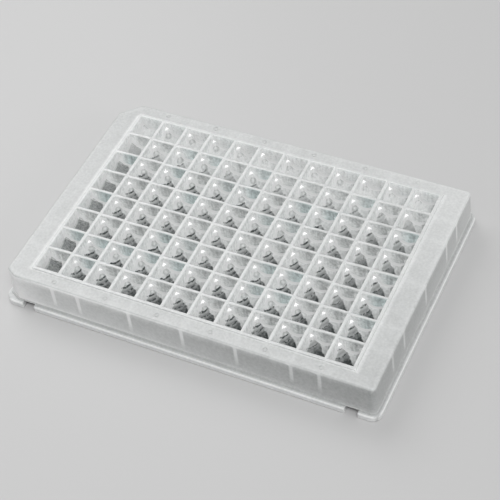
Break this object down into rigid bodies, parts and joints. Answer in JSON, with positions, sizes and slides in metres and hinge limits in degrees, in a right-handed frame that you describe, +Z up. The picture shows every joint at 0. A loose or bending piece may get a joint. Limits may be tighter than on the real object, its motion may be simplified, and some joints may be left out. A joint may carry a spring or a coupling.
{
  "type": "well plate",
  "caption": "Low rectangular laboratory plate, moulded in one piece, with a grid of square-mouthed wells that end in cones and a skirt standing on a flange.",
  "frame": {"origin": "on the floor under the middle of the plate", "axes": "+X along the rows of twelve wells, from column 1 to column 12; +Y towards row A; +Z up out of the wells"},
  "size_m": [0.1278, 0.0854, 0.0143],
  "materials": {
    "plate": "satin"
  },
  "bodies": {
    "root": {"plate": "plate"}
  },
  "joints": []
}
